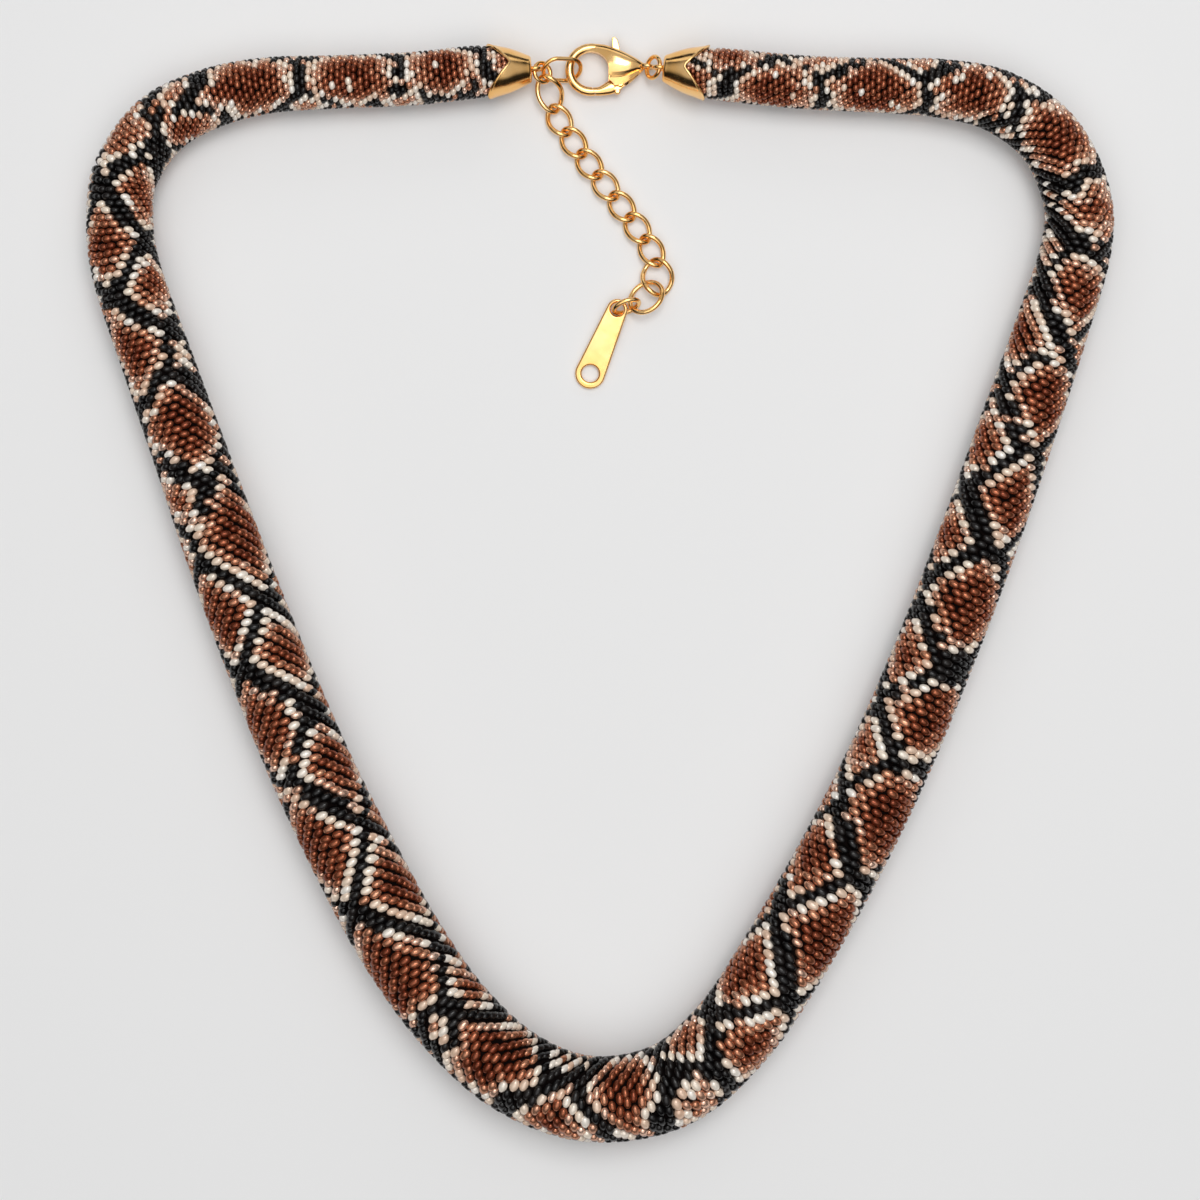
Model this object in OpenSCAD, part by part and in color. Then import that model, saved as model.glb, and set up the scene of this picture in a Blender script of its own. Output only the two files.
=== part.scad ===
// Beaded rope necklace with a snake-skin pattern, lying flat on a table.
// The fat beaded rope makes the loop, thin at the nape and full at the front.
// Each end sits in a gold cap with two notches. A lobster clasp, a ring and an
// oval link join the caps, and a short chain with a flat tag hangs inside the loop.
// The origin is the middle of the outline, on the table, with +Y to the nape.

/* [Rope] */
// Flat sides round the rope
rope_sides = 24; // [16:4:32]
// Rings of the rope between two points of its route
rope_steps = 3; // [2:1:4]

/* [Caps] */
// Length of a cap from its mouth to its small end
cap_len = 6.5; // [5:0.1:8]
// Outer radius of the mouth, which also sets the height of the cap's axis
cap_mouth_r = 4.15; // [4.05:0.05:4.3]
// Outer radius of the small end
cap_end_r = 2.3; // [2.1:0.05:2.6]
// Thickness of the cap's sheet
cap_wall = 0.4; // [0.3:0.05:0.45]
// How far the hollow goes in from the mouth
cap_depth = 4.3; // [4.2:0.1:4.6]
// How far each notch reaches from the mouth
notch_depth = 3.3; // [2.5:0.1:3.6]
// Half width of a notch at the mouth
notch_half_w = 3.9; // [3:0.1:4]
// How far the left cap is rolled on its axis, which leans its notches to the nape
left_cap_roll = -14; // [-45:1:0]
// How far the right cap is rolled on its axis
right_cap_roll = 3; // [0:1:45]

/* [Clasp] */
// Radius of the hook's centre line
hook_r = 3.3; // [3.2:0.05:3.4]
// Radius of the hook's wire
hook_wire_r = 0.68; // [0.6:0.02:0.72]
// Radius of the round gate bar
gate_r = 0.62; // [0.5:0.02:0.64]
// Thickness of the flat part of the lever
lever_t = 1.2; // [0.9:0.05:1.3]
// Height of the slot that the lever turns in
slot_t = 1.44; // [1.4:0.02:1.5]
// Radius of the lever's pin
pin_r = 0.38; // [0.3:0.02:0.45]
// Radial play of the lever on its pin
pin_play = 0.06; // [0.05:0.01:0.1]
// Radial play of the pin in the clasp's body
pin_seat = 0.02; // [0.02:0.01:0.05]
// Opening between the end of the hook and the gate
gate_gap = 0.14; // [0.1:0.02:0.3]
// Lean of the joint between hook and gate
gate_lean = 25; // [20:1:35]

/* [Rings and links] */
// Radius of the wire of the rings, the hook link and the soldered loops
wire_r = 0.33; // [0.3:0.01:0.34]
// Radius of the wire of the chain's links
chain_wire_r = 0.38; // [0.3:0.01:0.38]
// Radius of the centre line of the small loop on each cap and on the clasp
loop_r = 0.85; // [0.8:0.01:0.9]
// Half length of a chain link, to the middle of its wire
link_half_len = 2.48; // [2.44:0.01:2.5]
// Half width of a chain link, to the middle of its wire
link_half_w = 1.66; // [1.6:0.01:1.7]
// Twist of each end of a chain link
link_twist = -40; // [-45:1:-35]
// Distance between the centres of two chain links
link_pitch = 4.03; // [3.98:0.01:4.05]
// Straight pieces in one link
link_segments = 16; // [12:2:16]
// Flat sides of a link's wire
wire_sides = 6; // [5:1:6]

/* [Tag] */
// Distance between the tag's two holes
tag_hole_gap = 10.5; // [10:0.1:11]
// Radius of the wide end
tag_wide_r = 2.3; // [2.1:0.05:2.5]
// Radius of the narrow end
tag_narrow_r = 1.6; // [1.5:0.05:1.7]
// Radius of the open hole in the wide end
tag_hole_r = 1.3; // [1.1:0.05:1.4]
// Radius of the hole that the chain holds
tag_eye_r = 1.0; // [0.95:0.05:1.05]
// Thickness of the tag
tag_t = 0.7; // [0.5:0.05:0.75]
// Width of the bevel round its face
tag_bevel = 0.25; // [0.1:0.05:0.3]

/* [Hidden] */
$fn = 64;

// Height of a cap's axis, so that the rim of its mouth rests on the table
cap_z = cap_mouth_r + 0.05;
// Mouths of the two caps, and the way each cap points
left_mouth = [-16.7, 77.6];
left_head = 3;
right_mouth = [16, 77.4];
right_head = 174;
// Middle of a loop, out from the end that it is soldered to
loop_out = 0.5;

// Route of the rope: x, y, radius. It runs from inside the left cap round the
// front and into the right cap, and lies on the table all the way.
ROPE_ROUTE = [
    [-12.8, 77.8, 2.4], [-14.8, 77.7, 3.0], [-16.7, 77.6, 3.6], [-19, 77.5, 3.95],
    [-28.5, 76.5, 4.0], [-40.5, 76, 4.0], [-50, 75.5, 4.2], [-58.5, 73.5, 4.5],
    [-66, 69.5, 4.8], [-71, 62.5, 4.9], [-72, 56, 5.0], [-71, 47.5, 5.2],
    [-66, 33, 5.4], [-61, 19, 5.6], [-56, 5, 5.9], [-49.5, -12, 6.1],
    [-42.5, -28.5, 6.3], [-34.5, -44.5, 6.5], [-28.5, -55, 6.5], [-21.5, -64.5, 6.4],
    [-12.5, -72.5, 6.4], [-1.5, -76.5, 6.4], [10.5, -74.5, 6.5], [19.5, -67, 6.5],
    [26.5, -57, 6.6], [35.5, -41.5, 6.5], [43.5, -25.5, 6.3], [50.5, -9, 6.1],
    [57, 8, 6.0], [63, 25, 5.8], [68, 39.5, 5.5], [71.5, 51, 5.3],
    [71.5, 59, 5.1], [67.5, 67.5, 4.9], [60, 73, 4.7], [51.5, 75, 4.4],
    [42.5, 75.5, 4.1], [30.5, 76, 4.0], [19, 77.1, 3.95], [16, 77.4, 3.6],
    [14.1, 77.6, 3.0], [12.1, 77.8, 2.4]];

// Middle of the clasp's hook, and the height of the clasp's middle plane
clasp_at = [-1.25, 78.35, 1.6];
// Pivot of the lever, seen from the middle of the hook
pivot = [4.4, -2.2];
// Where hook and gate meet, seen from the middle of the hook
gate_joint = [0.4, -hook_r];
// End of the clasp's body, where its loop is soldered
clasp_tail = [7.95, 0.5];
clasp_tail_head = -8;
// Sections of the clasp's body: x, lowest y, highest y, half thickness
CLASP_SECTIONS = [
    [-1.7, 2.6, 3.55, 0.4], [-0.6, 2.4, 3.92, 0.85], [0.8, 2.2, 3.9, 1.1],
    [2.0, -1.9, 3.78, 1.25], [3.0, -2.7, 3.58, 1.4], [4.0, -3.1, 3.22, 1.5],
    [5.0, -2.9, 2.78, 1.48], [6.0, -1.9, 2.25, 1.35], [7.0, -1.0, 1.62, 1.1],
    [7.7, -0.35, 1.15, 0.75], [8.0, 0.1, 0.9, 0.4]];
// Outline of the slot in the clasp: under the gate, past the pivot and out at the top
SLOT_OUTLINE = [
    [0.6, -4.6], [0.6, -0.7], [3.2, -1.95], [3.45, -1.5], [2.75, 5.2],
    [7.4, 5.2], [6.35, 1.2], [5.65, -1.3], [5.7, -4.6]];
// Outline of the lever's flat part: from the gate up past the pivot to the thumb tab
LEVER_OUTLINE = [
    [2.4, -3.85], [2.4, -2.75], [3.3, -2.6], [3.72, -1.6], [3.15, 3.4], [3.1, 4.75],
    [3.5, 4.95], [3.95, 4.5], [4.25, 3.4], [5.1, -1.6], [5.2, -2.3], [4.9, -3.0], [4.4, -3.7]];
lever_heel = [3.95, -3.7];
lever_heel_r = 0.55;

// Rings and links between the caps: middle, heading, pitch, roll
nape_ring_at = [-8.6, 77.6, 3.4];
nape_ring_turn = [5, 36, 0];
nape_ring_r = 1.45;
hook_link_at = [-5.65, 78.25, 2.3];
hook_link_turn = [2, 21, 45];
hook_link_half = [2.95, 1.95];
tail_ring_r = 1.6;
tail_ring_turn = [-25, -52, 16];

// First chain link, which climbs to the ring, and the heading of each of the others
first_link_at = [-7.47, 74.62, 2.12];
first_link_turn = [-70, 26, 0];
first_link_half = [2.9, 1.78];
chain_start = [-6.05, 70.75];
chain_z = 0.94;
CHAIN_HEADS = [-60, -55, -53, -52, -53, -55, -61];
round_link_at = [8.78, 47.0, 1.12];
round_link_head = -83;
round_link_half = [2.71, 2.22];
end_ring_at = [7.07, 43.93, 1.58];
end_ring_turn = [-134, -5, 30];
end_ring_half = [2.7, 2.37];
tag_link_at = [4.07, 42.57, 1.5];
tag_link_turn = [-160, 4, -58];
tag_link_half = [1.95, 1.35];

// Tag: middle of the open hole, heading of the narrow end, and its rise onto the link
tag_at = [-1.4, 32.5, 0.18];
tag_head = 67;
tag_rise = 4;

// A point on a smooth curve through b and c, a share t of the way between them
function between(a, b, c, d, t) =
    0.5 * (2 * b + (c - a) * t + (2 * a - 5 * b + 4 * c - d) * t * t
        + (3 * b - a - 3 * c + d) * t * t * t);
function route_at(i) = ROPE_ROUTE[max(0, min(len(ROPE_ROUTE) - 1, i))];
function route_point(i, t) =
    between(route_at(i - 1), route_at(i), route_at(i + 1), route_at(i + 2), t);
function unit(v) = v / norm(v);

// Middles of chain links two to eight, each a pitch on from the last
function way(head) = [cos(head), sin(head)];
function chain_at(i) = i == 0 ? chain_start
    : chain_at(i - 1) + link_pitch / 2 * (way(CHAIN_HEADS[i - 1]) + way(CHAIN_HEADS[i]));

// Skin over a row of rings of points, each turning left about the way ahead.
// The row is closed to a loop or has flat ends.
module skin(rings, closed = false) {
    count = len(rings);
    side = len(rings[0]);
    bands = closed ? count : count - 1;
    walls = [for (i = [0:bands - 1], j = [0:side - 1])
        let (a = i * side + j, b = i * side + (j + 1) % side,
            c = (i + 1) % count * side + (j + 1) % side, d = (i + 1) % count * side + j)
        each [[a, c, b], [a, d, c]]];
    last = (count - 1) * side;
    ends = [for (j = [1:side - 2]) each [[0, j, j + 1], [last, last + j + 1, last + j]]];
    polyhedron([for (ring = rings, p = ring) p], closed ? walls : concat(walls, ends));
}

// The beaded rope as its outer form: round everywhere, resting on the table
module bead_rope() {
    last = len(ROPE_ROUTE) - 1;
    row = [for (i = [0:last - 1], k = [0:rope_steps - 1]) route_point(i, k / rope_steps)];
    line = concat(row, [ROPE_ROUTE[last]]);
    n = len(line);
    color("saddlebrown") skin([for (i = [0:n - 1])
        let (p = line[i], ahead = line[min(n - 1, i + 1)], back = line[max(0, i - 1)],
            along = unit([ahead[0] - back[0], ahead[1] - back[1], 0]),
            left = [-along[1], along[0], 0], height = max(p[2], cap_z))
        [for (j = [0:rope_sides - 1])
            let (turn = 360 * j / rope_sides)
            [p[0], p[1], height] + p[2] * (sin(turn) * left - cos(turn) * [0, 0, 1])]]);
}

// A round ring of wire in the XZ plane
module small_loop() {
    rotate([90, 0, 0]) rotate_extrude() translate([loop_r, 0]) circle(wire_r, $fn = 32);
}

// Wedge with a rounded tip, pointing along +X from the mouth, through the whole cap
module notch() {
    tip_r = 0.7;
    half_angle = atan(notch_half_w / notch_depth);
    middle = notch_depth - tip_r;
    reach = 1;
    wide = notch_half_w + reach * tan(half_angle);
    arc = [for (i = [-3:3]) let (a = i / 3 * (90 - half_angle))
        [middle + tip_r * cos(a), tip_r * sin(a)]];
    linear_extrude(4 * cap_mouth_r, center = true)
        polygon(concat([[-reach, wide], [-reach, -wide]], arc));
}

// One cap: a hollow cone of polished sheet, open at the mouth, with a loop at its end
module cap(mouth, head, roll) {
    round_off = 0.45;
    outline = [[0, cap_mouth_r - cap_wall], [0, cap_mouth_r],
        [cap_len * 0.5, (cap_mouth_r + cap_end_r) / 2 + 0.14],
        [cap_len - round_off, cap_end_r + 0.05],
        [cap_len - round_off * 0.4, cap_end_r - round_off * 0.35],
        [cap_len, cap_end_r - round_off], [cap_len, 0], [cap_depth, 0],
        [cap_depth, cap_end_r + 0.35]];
    translate([mouth[0], mouth[1], cap_z]) rotate([0, 0, head]) {
        difference() {
            rotate([90, 0, 90]) rotate_extrude() polygon([for (p = outline) [p[1], p[0]]]);
            rotate([roll, 0, 0]) notch();
        }
        translate([cap_len + loop_out, 0, 0]) small_loop();
    }
}
module cap_left() { color("gold") cap(left_mouth, left_head, left_cap_roll); }
module cap_right() { color("gold") cap(right_mouth, right_head, right_cap_roll); }

// A wire of radius r swept round a closed line of points
module wire_ring(line, r) {
    n = len(line);
    skin([for (i = [0:n - 1])
        let (along = unit(line[(i + 1) % n] - line[(i + n - 1) % n]),
            out = unit(line[i] - along * (line[i] * along)), side = cross(along, out))
        [for (j = [0:wire_sides - 1])
            let (turn = 360 * j / wire_sides)
            line[i] + r * (cos(turn) * out + sin(turn) * side)]], closed = true);
}

// Turns a link by heading, pitch and roll, and puts it in its place
module placed(at, turn) {
    translate(at) rotate([0, 0, turn[0]]) rotate([0, turn[1], 0]) rotate([turn[2], 0, 0])
        children();
}

// An oval link whose ends are twisted opposite ways, as in a curb chain
module oval_link(half, twist = 0) {
    wire_ring([for (i = [0:link_segments - 1])
        let (a = 360 * i / link_segments, lean = twist * cos(a))
        [half[0] * cos(a), half[1] * sin(a) * cos(lean), half[1] * sin(a) * sin(lean)]],
        chain_wire_r);
}

// A link with two straight sides and round ends
module long_link(half) {
    straight = half[0] - half[1];
    turns = link_segments / 2;
    wire_ring([for (s = [1, -1], i = [0:turns - 1])
        let (a = (s < 0 ? 180 : 0) - 90 + 180 * i / (turns - 1))
        [s * straight + half[1] * cos(a), half[1] * sin(a), 0]], wire_r);
}

// A plain round ring
module round_ring(r) {
    rotate_extrude() translate([r, 0]) circle(wire_r, $fn = 32);
}

module nape_ring() { color("gold") placed(nape_ring_at, nape_ring_turn) round_ring(nape_ring_r); }
module hook_link() { color("gold") placed(hook_link_at, hook_link_turn) long_link(hook_link_half); }

// Swells a circle toward a square, for the clasp's flat faces and round edges
function rounded(v) = sign(v) * pow(abs(v), 0.7);

// All that one half of the slanted joint gives way to: the other half and the gap
module joint_side(toward_gate) {
    reach = 8;
    tall = 3;
    translate([gate_joint[0], gate_joint[1], 0]) rotate([0, 0, gate_lean])
        translate([toward_gate ? -gate_gap / 2 : gate_gap / 2 - reach, -tall / 2, -tall / 2])
            cube([reach, tall, tall]);
}

// The clasp's cast body: the hook and the drop-shaped grip, with a slot for the lever
module clasp_body() {
    hook_from = 48;
    hook_to = 284;
    dome_sides = 24;
    bore_top = 1.0;
    color("gold") translate(clasp_at) {
        difference() {
            union() {
                difference() {
                    rotate([0, 0, hook_from]) rotate_extrude(angle = hook_to - hook_from)
                        translate([hook_r, 0]) circle(hook_wire_r, $fn = 40);
                    joint_side(true);
                }
                difference() {
                    skin([for (s = CLASP_SECTIONS)
                        let (middle = (s[1] + s[2]) / 2, half = (s[2] - s[1]) / 2)
                        [for (j = [0:dome_sides - 1])
                            let (turn = 360 * j / dome_sides)
                            [s[0], middle + half * rounded(cos(turn)), s[3] * rounded(sin(turn))]]]);
                    cylinder(h = 10, r = hook_r - hook_wire_r, center = true);
                }
            }
            difference() {
                linear_extrude(slot_t, center = true) polygon(SLOT_OUTLINE);
                joint_side(false);
            }
            translate([pivot[0], pivot[1], -4]) cylinder(h = 4 + bore_top, r = pin_r + pin_seat);
        }
        translate([clasp_tail[0] + loop_out, clasp_tail[1], 0])
            rotate([0, 0, clasp_tail_head]) small_loop();
    }
}

// The pin that the lever turns on, blind under the clasp's upper face
module clasp_pin() {
    pin_from = -1.4;
    pin_to = 0.95;
    color("goldenrod") translate(clasp_at + [pivot[0], pivot[1], pin_from])
        cylinder(h = pin_to - pin_from, r = pin_r);
}

// The lever: a round gate bar, a flat middle on the pin, a heel and a thumb tab
module clasp_lever() {
    bar_end = 3.6;
    color("gold") translate(clasp_at) difference() {
        union() {
            difference() {
                translate([0, gate_joint[1], 0]) rotate([0, 90, 0])
                    cylinder(h = bar_end, r = gate_r, $fn = 40);
                joint_side(false);
            }
            linear_extrude(lever_t, center = true) polygon(LEVER_OUTLINE);
            translate([lever_heel[0], lever_heel[1], 0])
                cylinder(h = lever_t, r = lever_heel_r, center = true);
        }
        translate([pivot[0], pivot[1], 0])
            cylinder(h = 4, r = pin_r + pin_play, center = true);
    }
}

// The ring between the clasp's loop and the right cap's loop
module tail_ring() {
    from = clasp_at + [clasp_tail[0] + loop_out, clasp_tail[1], 0];
    end = right_mouth + (cap_len + loop_out) * way(right_head);
    color("gold") placed((from + [end[0], end[1], cap_z]) / 2, tail_ring_turn)
        round_ring(tail_ring_r);
}

// Chain links: the first climbs to the ring, the other seven lie flat in a row
module chain_link(i) {
    color("gold") if (i == 1)
        placed(first_link_at, first_link_turn) oval_link(first_link_half, link_twist - 2);
    else
        placed([chain_at(i - 2)[0], chain_at(i - 2)[1], chain_z], [CHAIN_HEADS[i - 2], 0, 0])
            oval_link([link_half_len, link_half_w], link_twist);
}
module round_link() {
    color("gold") placed(round_link_at, [round_link_head, 0, 0])
        oval_link(round_link_half, link_twist + 2);
}
module end_ring() { color("gold") placed(end_ring_at, end_ring_turn) oval_link(end_ring_half); }
module tag_link() { color("gold") placed(tag_link_at, tag_link_turn) oval_link(tag_link_half); }

// Outline of the tag: a round end about each hole, joined by straight sides
module tag_outline(inset) {
    lean = acos((tag_wide_r - tag_narrow_r) / tag_hole_gap);
    steps = 12;
    narrow = [for (i = [-steps:steps]) let (a = lean * i / steps)
        [tag_hole_gap + (tag_narrow_r - inset) * cos(a), (tag_narrow_r - inset) * sin(a)]];
    wide = [for (i = [0:2 * steps]) let (a = lean + (360 - 2 * lean) * i / (2 * steps))
        (tag_wide_r - inset) * [cos(a), sin(a)]];
    polygon(concat(narrow, wide));
}

// The flat tag, bevelled round its face, with a hole in each end
module tag() {
    color("gold") translate(tag_at) rotate([0, 0, tag_head]) rotate([0, -tag_rise, 0])
        difference() {
            hull() {
                linear_extrude(tag_t - tag_bevel) tag_outline(0);
                linear_extrude(tag_t) tag_outline(tag_bevel);
            }
            cylinder(h = 4, r = tag_hole_r, center = true);
            translate([tag_hole_gap, 0, 0]) cylinder(h = 4, r = tag_eye_r, center = true);
        }
}

bead_rope();
cap_left();
cap_right();
nape_ring();
hook_link();
clasp_body();
clasp_pin();
clasp_lever();
tail_ring();
for (i = [1:8])
    chain_link(i);
round_link();
end_ring();
tag_link();
tag();
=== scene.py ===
import math

import bpy
import numpy as np
from mathutils import Matrix, Vector


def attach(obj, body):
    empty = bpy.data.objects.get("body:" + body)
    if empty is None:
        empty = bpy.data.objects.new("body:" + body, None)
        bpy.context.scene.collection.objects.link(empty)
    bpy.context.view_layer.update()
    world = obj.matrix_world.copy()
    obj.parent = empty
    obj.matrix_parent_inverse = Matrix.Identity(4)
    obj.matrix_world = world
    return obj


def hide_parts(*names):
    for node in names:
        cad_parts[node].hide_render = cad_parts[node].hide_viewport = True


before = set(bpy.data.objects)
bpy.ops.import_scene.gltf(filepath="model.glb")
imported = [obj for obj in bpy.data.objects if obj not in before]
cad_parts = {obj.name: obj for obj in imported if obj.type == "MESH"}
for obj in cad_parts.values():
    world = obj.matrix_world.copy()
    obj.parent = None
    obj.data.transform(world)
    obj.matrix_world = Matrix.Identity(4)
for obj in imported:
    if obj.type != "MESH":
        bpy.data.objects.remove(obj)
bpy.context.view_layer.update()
mm = 0.001


# The rope's core. A bead-crochet rope is worked round a soft dark cord, which shows only
# between the beads, its near-black colour partly its own and partly painted shade. It lies on
# the table all the way round, thin at the nape and full at the front, and both its ends are
# glued into the caps. It stands for the rope's solid.
ROPE_ROUTE = [
    (-12.8, 77.8, 2.4), (-14.8, 77.7, 3.0), (-16.7, 77.6, 3.6), (-19, 77.5, 3.95),
    (-28.5, 76.5, 4.0), (-40.5, 76, 4.0), (-50, 75.5, 4.2), (-58.5, 73.5, 4.5),
    (-66, 69.5, 4.8), (-71, 62.5, 4.9), (-72, 56, 5.0), (-71, 47.5, 5.2),
    (-66, 33, 5.4), (-61, 19, 5.6), (-56, 5, 5.9), (-49.5, -12, 6.1),
    (-42.5, -28.5, 6.3), (-34.5, -44.5, 6.5), (-28.5, -55, 6.5), (-21.5, -64.5, 6.4),
    (-12.5, -72.5, 6.4), (-1.5, -76.5, 6.4), (10.5, -74.5, 6.5), (19.5, -67, 6.5),
    (26.5, -57, 6.6), (35.5, -41.5, 6.5), (43.5, -25.5, 6.3), (50.5, -9, 6.1),
    (57, 8, 6.0), (63, 25, 5.8), (68, 39.5, 5.5), (71.5, 51, 5.3),
    (71.5, 59, 5.1), (67.5, 67.5, 4.9), (60, 73, 4.7), (51.5, 75, 4.4),
    (42.5, 75.5, 4.1), (30.5, 76, 4.0), (19, 77.1, 3.95), (16, 77.4, 3.6),
    (14.1, 77.6, 3.0), (12.1, 77.8, 2.4)]
cap_axis_z = 4.2
mouth_row, route_steps = 2, 24


def deselect_all():
    """Leaves nothing selected, so that the next operator acts on its own piece alone."""
    bpy.ops.object.select_all(action="DESELECT")


def smooth_route(rows, steps):
    """Points on a smooth curve through the rows, with the given steps between two rows."""
    rows = np.array(rows, float)
    padded = np.vstack([rows[:1], rows, rows[-1:]])
    share = np.linspace(0, 1, steps, endpoint=False)[:, None]
    spans = []
    for a, b, c, d in zip(padded, padded[1:], padded[2:], padded[3:]):
        spans.append(0.5 * (2 * b + (c - a) * share + (2 * a - 5 * b + 4 * c - d) * share**2
                            + (3 * b - a - 3 * c + d) * share**3))
    return np.vstack(spans + [rows[-1:]])


class RopeLine:
    """The rope's middle line, measured along from the left cap's mouth."""

    def __init__(self):
        line = smooth_route(ROPE_ROUTE, route_steps)
        step = np.hypot(*np.diff(line[:, :2], axis=0).T)
        along = np.concatenate([[0], np.cumsum(step)])
        self.along = along - along[mouth_row * route_steps]
        self.line = line
        self.heading = np.unwrap(np.arctan2(np.gradient(line[:, 1]), np.gradient(line[:, 0])))
        self.bend = np.gradient(self.heading, self.along)
        self.length = self.along[-1 - mouth_row * route_steps]

    def at(self, s, values):
        return np.interp(s, self.along, values)

    def radius(self, s):
        return self.at(s, self.line[:, 2])

    def place(self, s, angle, reach):
        """Points at a reach from the middle line, at an angle from the top to the outside."""
        heading = self.at(s, self.heading)
        middle = np.stack([self.at(s, self.line[:, 0]), self.at(s, self.line[:, 1]),
                           np.maximum(self.radius(s), cap_axis_z)], -1)
        ahead = np.stack([np.cos(heading), np.sin(heading), np.zeros_like(heading)], -1)
        outside = np.stack([np.sin(heading), -np.cos(heading), np.zeros_like(heading)], -1)
        outward = (np.cos(angle)[..., None] * np.array([0, 0, 1])
                   + np.sin(angle)[..., None] * outside)
        return middle + reach[..., None] * outward, ahead, outward


rope = RopeLine()
core_depth, core_least_r = 0.75, 1.2
core_rows, core_sides = 360, 20


def skin_walls(rows, sides):
    """The faces of a skin laid over rows of points, with as many points round each row."""
    return [(i * sides + j, i * sides + (j + 1) % sides,
             (i + 1) * sides + (j + 1) % sides, (i + 1) * sides + j)
            for i in range(rows - 1) for j in range(sides)]


def rope_core():
    """The core's skin, laid round the middle line a little below the beads."""
    s = np.linspace(rope.along[0], rope.along[-1], core_rows)
    turn = np.arange(core_sides) / core_sides * 2 * math.pi
    grid_s, grid_turn = np.meshgrid(s, turn, indexing="ij")
    reach = np.maximum(rope.radius(grid_s) - core_depth, core_least_r)
    points = rope.place(grid_s, grid_turn, reach)[0].reshape(-1, 3) * mm
    faces = skin_walls(core_rows, core_sides)
    faces.append(tuple(range(core_sides))[::-1])
    faces.append(tuple((core_rows - 1) * core_sides + j for j in range(core_sides)))
    mesh = bpy.data.meshes.new("rope_core")
    mesh.from_pydata(points.tolist(), [], faces)
    mesh.shade_smooth()
    core = bpy.data.objects.new("rope_core", mesh)
    bpy.context.collection.objects.link(core)
    deselect_all()
    core.select_set(True)
    bpy.context.view_layer.objects.active = core
    bpy.ops.object.mode_set(mode="EDIT")
    bpy.ops.mesh.select_all(action="SELECT")
    bpy.ops.mesh.normals_make_consistent(inside=False)
    bpy.ops.object.mode_set(mode="OBJECT")
    return core


def plain_material(name, colour, metallic, roughness):
    """A material with its Principled shader, ready for more nodes."""
    material = bpy.data.materials.new(name)
    material.use_nodes = True
    shader = material.node_tree.nodes["Principled BSDF"]
    shader.inputs["Base Color"].default_value = (*colour, 1)
    shader.inputs["Metallic"].default_value = metallic
    shader.inputs["Roughness"].default_value = roughness
    return material, shader


# Near-black thread colours: partly the cord's own, partly painted shade in the gaps between the
# beads
thread_dark, thread_light = (0.001, 0.0005, 0.0005), (0.006, 0.002, 0.0015)
thread_mean = (0.004, 0.002, 0.001)


def thread_material():
    """Matt near-black thread, partly its own colour and partly painted shade between the beads,
    its strands a little paler than the hollows between them.
    """
    material, shader = plain_material("dark_thread_and_painted_gap_shade", thread_mean, 0.0, 0.9)
    shader.inputs["Specular IOR Level"].default_value = 0.1
    nodes, links = material.node_tree.nodes, material.node_tree.links
    place = nodes.new("ShaderNodeTexCoord")
    strands = nodes.new("ShaderNodeTexNoise")
    strands.inputs["Scale"].default_value = 4000
    links.new(place.outputs["Object"], strands.inputs["Vector"])
    ramp = nodes.new("ShaderNodeValToRGB")
    ramp.color_ramp.elements[0].color = (*thread_dark, 1)
    ramp.color_ramp.elements[1].color = (*thread_light, 1)
    links.new(strands.outputs["Fac"], ramp.inputs["Fac"])
    links.new(ramp.outputs["Color"], shader.inputs["Base Color"])
    relief = nodes.new("ShaderNodeBump")
    relief.inputs["Distance"].default_value = 0.0001
    links.new(strands.outputs["Fac"], relief.inputs["Height"])
    links.new(relief.outputs["Normal"], shader.inputs["Normal"])
    return material


core = rope_core()
core.data.materials.append(thread_material())
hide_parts("bead_rope")
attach(core, "necklace")


# The seed beads: glass beads of three finishes, crocheted in one long helix round the
# core. Each turn holds nineteen and a half beads, so every row sits half a bead off the
# last, as bricks do. Pulled tight, each turn leans, its top ahead of its underside.
beads_per_turn = 19.5
advance_least, advance_per_radius = 0.36, 0.125
cap_reach, helix_spare = 3.7, 3
TURN_LEAN = [(-5, 0.2), (20, 0.8), (60, 0.6), (100, 2.4), (150, 2.6), (205, 2.8), (235, 2.0),
             (260, 0.6), (300, 0.8), (340, 1.6), (380, 2.4), (410, 1.2), (445, 0.5)]


def turn_lean(s):
    """How far a turn's top runs ahead of its middle, in millimetres."""
    places, leads = np.array(TURN_LEAN, float).T
    return np.interp(s, places, leads)


def turn_advance(radius):
    """How far the helix gets in one turn, which is the beads' width along the rope."""
    return advance_least + advance_per_radius * radius


def lay_helix():
    """Bead places: how far along the rope, and the angle round it."""
    s, angle = [-cap_reach - helix_spare], [0.0]
    while s[-1] < rope.length + cap_reach + helix_spare:
        s.append(s[-1] + turn_advance(rope.radius(s[-1])) / beads_per_turn)
        angle.append(angle[-1] + 2 * math.pi / beads_per_turn)
    return np.array(s), np.array(angle)
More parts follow.
